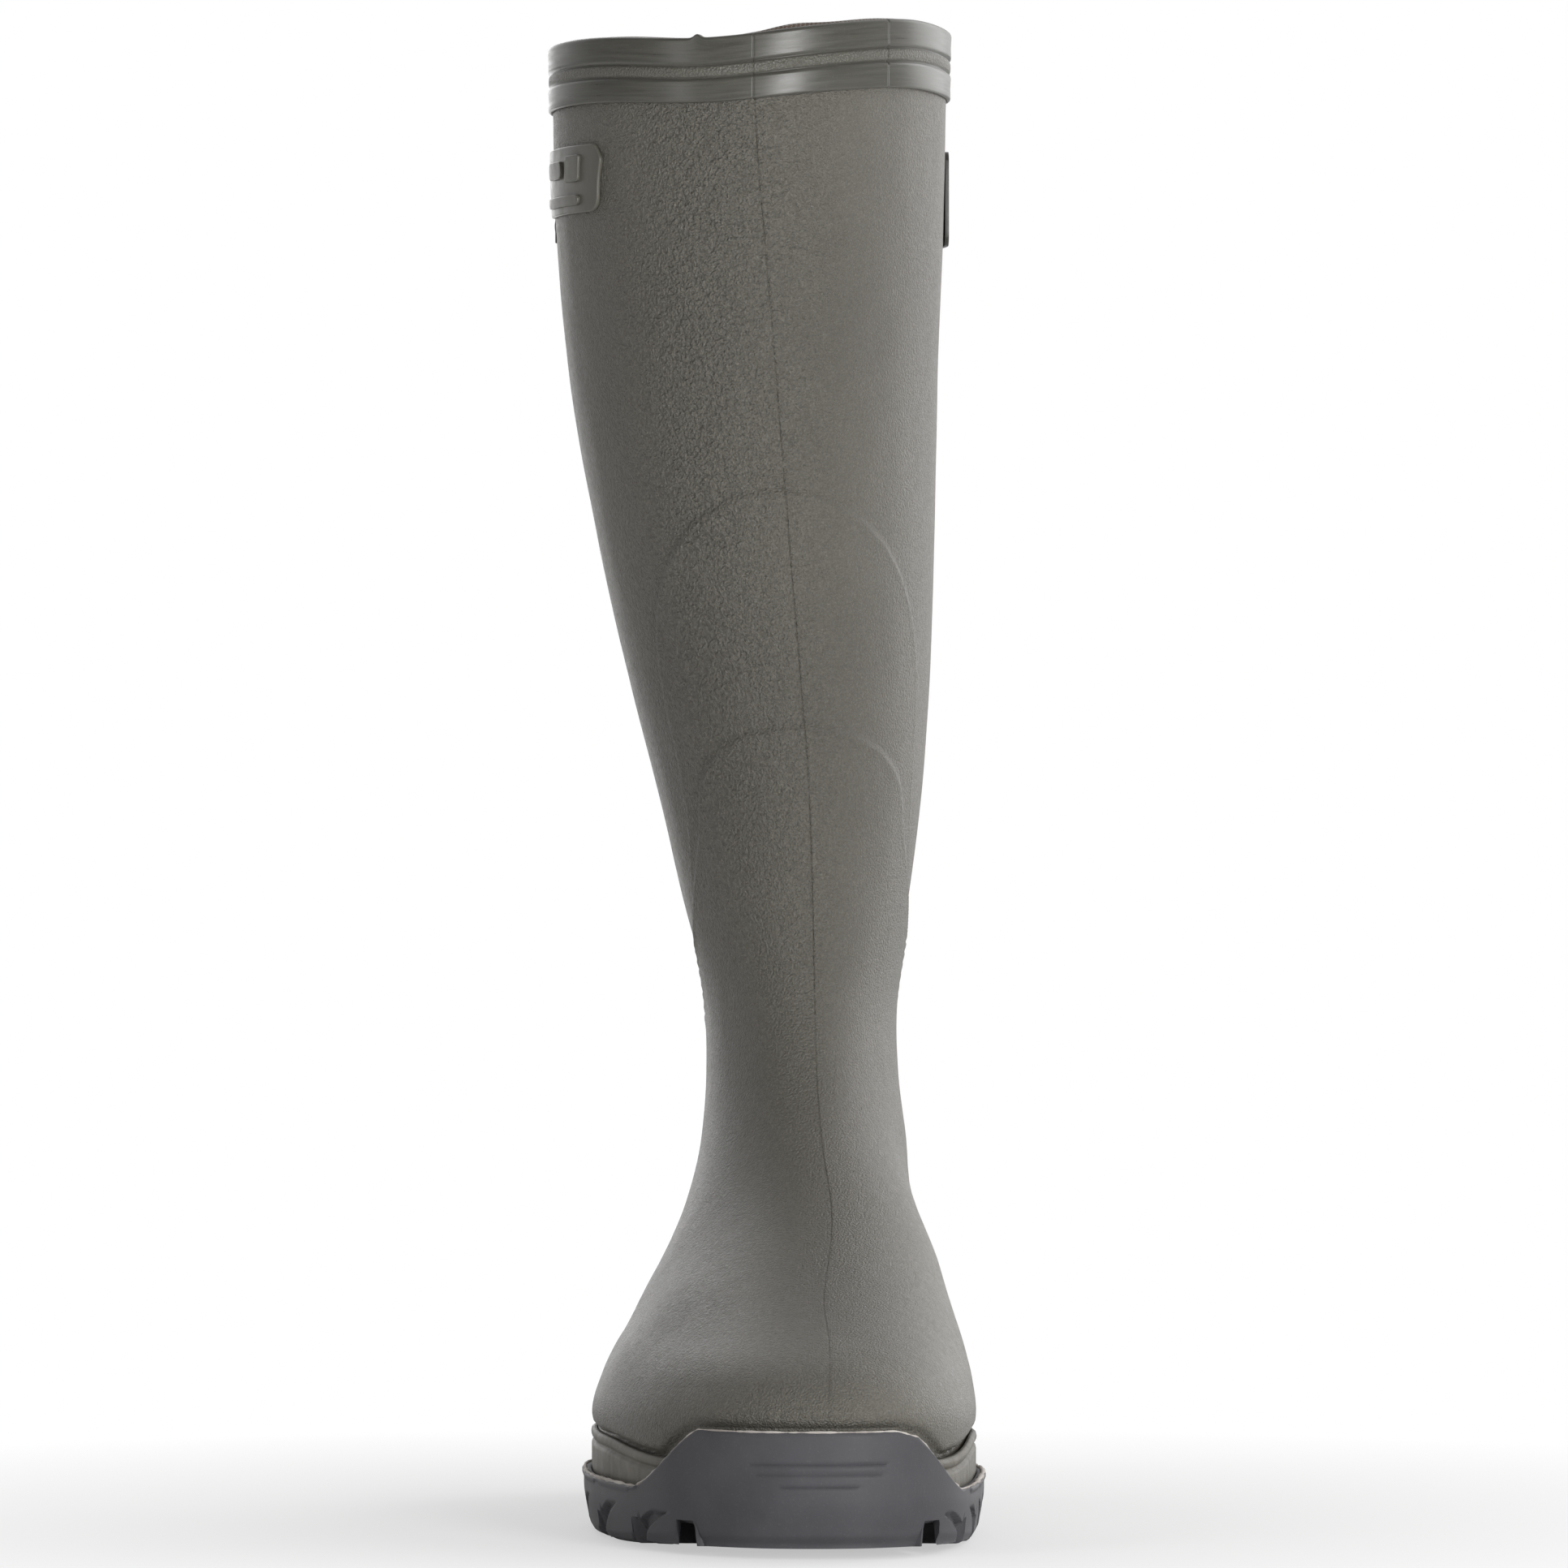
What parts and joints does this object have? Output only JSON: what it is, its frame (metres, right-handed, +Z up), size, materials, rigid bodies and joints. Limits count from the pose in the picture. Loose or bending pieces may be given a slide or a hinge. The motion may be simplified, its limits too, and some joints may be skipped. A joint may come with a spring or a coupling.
{
  "type": "insulated hunting boot",
  "caption": "Tall insulated rubber boot for the right foot, with shin plies, lugged outsole, calf strap with buckle, and a lift-out footbed.",
  "frame": {"origin": "on the ground under the ankle, on the flat of the heel tread", "axes": "+Z up, -Y towards the toe, +X towards the inner side of the foot"},
  "size_m": [0.127, 0.3067, 0.435],
  "materials": {
    "upper_rubber": "fine leather-like grain, satin, olive grey",
    "sole_rubber": "moulded, matt, slate grey",
    "binding_rubber": "smooth, half gloss, olive grey",
    "badge_rubber": "smooth moulded, olive grey",
    "strap_rubber": "smooth moulded, half gloss, dark olive",
    "foam": "closed-cell foam",
    "spring_steel": "strip steel, bare",
    "fibreboard": "pressed fibre board",
    "footbed_foam": "moulded foam",
    "footbed_cloth": "brushed felt",
    "stiffener": "resin-stiffened canvas",
    "neoprene": "foamed neoprene",
    "knit": "brushed jersey knit, brown",
    "tape": "woven tape, brown",
    "gusset_cloth": "ribbed stretch cloth, dark olive",
    "buckle_metal": "dark gunmetal coating, half gloss"
  },
  "bodies": {
    "boot": {"outsole": "sole_rubber", "midsole": "foam", "shank": "spring_steel", "insole_board": "fibreboard", "foxing_strip": "upper_rubber", "outer_shell": "upper_rubber", "long_shin_ply": "upper_rubber", "short_shin_ply": "upper_rubber", "toe_stiffener": "stiffener", "heel_counter": "stiffener", "neoprene_sock": "neoprene", "lining": "knit", "top_binding": "binding_rubber", "collar_tape": "tape", "rear_gusset": "gusset_cloth", "badge_plate": "badge_rubber", "badge_relief": "badge_rubber", "inner_strap_pad": "strap_rubber", "outer_strap_pad": "strap_rubber", "strap_rivets": "buckle_metal", "calf_strap": "strap_rubber", "buckle_chape": "strap_rubber", "chape_rivets": "buckle_metal"},
    "footbed": {"footbed_foam": "footbed_foam", "footbed_cover": "footbed_cloth"},
    "buckle": {"buckle_frame": "buckle_metal"},
    "prong": {"buckle_prong": "buckle_metal"},
    "keeper": {"strap_keeper": "strap_rubber"}
  },
  "joints": [
    {"name": "footbed_lift", "type": "hinge", "parent": "boot", "child": "footbed", "pos_m": [0.0083, -0.2083, 0.0331], "axis": [1, 0, 0], "range_deg": [0, 3.5]},
    {"name": "buckle_swing", "type": "hinge", "parent": "boot", "child": "buckle", "pos_m": [-0.05121, 0.05951, 0.386], "axis": [0, 0, 1], "range_deg": [0, 40]},
    {"name": "prong_swing", "type": "hinge", "parent": "buckle", "child": "prong", "pos_m": [-0.05121, 0.05951, 0.386], "axis": [0, 0, 1], "range_deg": [0, 30]},
    {"name": "keeper_slide", "type": "hinge", "parent": "boot", "child": "keeper", "pos_m": [0.00717, 0.00893, 0.386], "axis": [0, 0, 1], "range_deg": [-2.5, 2.5]}
  ]
}
